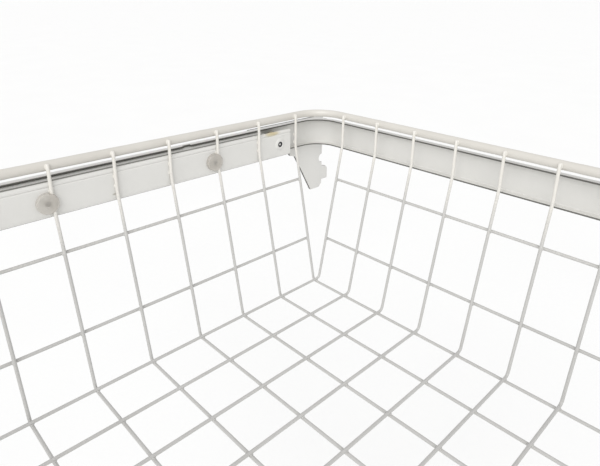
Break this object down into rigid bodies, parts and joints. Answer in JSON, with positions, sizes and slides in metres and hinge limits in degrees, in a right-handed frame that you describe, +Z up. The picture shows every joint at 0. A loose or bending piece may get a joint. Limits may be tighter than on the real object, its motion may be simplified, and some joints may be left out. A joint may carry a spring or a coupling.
{
  "type": "pull-out wire basket",
  "caption": "Welded white wire basket that slides out on nylon rollers from a U-shaped channel frame with hook brackets for slotted wall standards.",
  "frame": {"origin": "centre of the assembly's plan, at the underside of the basket's floor wires", "axes": "+Z up, +X to the right along the wall, +Y towards the wall that the frame hangs on; the basket slides out along -Y"},
  "size_m": [0.6154, 0.5162, 0.2052],
  "materials": {
    "enamel_wire": "glossy white epoxy coating on drawn steel wire",
    "enamel_sheet": "satin white epoxy coating on rolled steel sheet",
    "zinc_rivet": "bright zinc plate, a little dulled",
    "nylon_roller": "natural moulded nylon, satin",
    "nylon_button": "translucent natural nylon, smooth"
  },
  "bodies": {
    "frame": {"channel_frame": "enamel_sheet", "left_hook_bracket": "enamel_sheet", "right_hook_bracket": "enamel_sheet", "left_front_axle": "zinc_rivet", "right_front_axle": "zinc_rivet", "bracket_rivets": "zinc_rivet"},
    "basket": {"side_to_side_wire_1": "enamel_wire", "side_to_side_wire_2": "enamel_wire", "side_to_side_wire_3": "enamel_wire", "side_to_side_wire_4": "enamel_wire", "side_to_side_wire_5": "enamel_wire", "side_to_side_wire_6": "enamel_wire", "side_to_side_wire_7": "enamel_wire", "side_to_side_wire_8": "enamel_wire", "front_to_rear_wire_1": "enamel_wire", "front_to_rear_wire_2": "enamel_wire", "front_to_rear_wire_3": "enamel_wire", "front_to_rear_wire_4": "enamel_wire", "front_to_rear_wire_5": "enamel_wire", "front_to_rear_wire_6": "enamel_wire", "front_to_rear_wire_7": "enamel_wire", "front_to_rear_wire_8": "enamel_wire", "front_to_rear_wire_9": "enamel_wire", "front_to_rear_wire_10": "enamel_wire", "front_to_rear_wire_11": "enamel_wire", "left_wall_lower_wire": "enamel_wire", "left_wall_upper_wire": "enamel_wire", "right_wall_lower_wire": "enamel_wire", "right_wall_upper_wire": "enamel_wire", "rear_wall_lower_wire": "enamel_wire", "rear_wall_upper_wire": "enamel_wire", "front_wall_lower_wire": "enamel_wire", "front_wall_upper_wire": "enamel_wire", "rim_rod": "enamel_wire", "left_runner": "enamel_sheet", "right_runner": "enamel_sheet", "left_rear_axle": "zinc_rivet", "right_rear_axle": "zinc_rivet", "left_rear_retainer_button": "nylon_button", "left_front_retainer_button": "nylon_button", "right_rear_retainer_button": "nylon_button", "right_front_retainer_button": "nylon_button", "button_rivets": "zinc_rivet"},
    "left_rear_roller": {"left_rear_roller": "nylon_roller"},
    "right_rear_roller": {"right_rear_roller": "nylon_roller"},
    "left_front_roller": {"left_front_roller": "nylon_roller"},
    "right_front_roller": {"right_front_roller": "nylon_roller"}
  },
  "joints": [
    {"name": "basket_slide", "type": "slide", "parent": "frame", "child": "basket", "axis": [0, -1, 0], "range_m": [0, 0.29]},
    {"name": "left_rear_roller_spin", "type": "hinge", "parent": "basket", "child": "left_rear_roller", "pos_m": [-0.297, 0.15412, 0.1722], "axis": [1, 0, 0], "range_deg": [0, 1389.6]},
    {"name": "left_front_roller_spin", "type": "hinge", "parent": "frame", "child": "left_front_roller", "pos_m": [-0.297, -0.18127, 0.1739], "axis": [1, 0, 0], "range_deg": [0, 1389.6]},
    {"name": "right_rear_roller_spin", "type": "hinge", "parent": "basket", "child": "right_rear_roller", "pos_m": [0.297, 0.15412, 0.1722], "axis": [1, 0, 0], "range_deg": [0, 1389.6]},
    {"name": "right_front_roller_spin", "type": "hinge", "parent": "frame", "child": "right_front_roller", "pos_m": [0.297, -0.18127, 0.1739], "axis": [1, 0, 0], "range_deg": [0, 1389.6]}
  ],
  "couplings": [
    {"joint": "left_rear_roller_spin", "follows": "basket_slide", "rad_per_m": 83.333},
    {"joint": "left_front_roller_spin", "follows": "basket_slide", "rad_per_m": 83.333},
    {"joint": "right_rear_roller_spin", "follows": "basket_slide", "rad_per_m": 83.333},
    {"joint": "right_front_roller_spin", "follows": "basket_slide", "rad_per_m": 83.333}
  ]
}
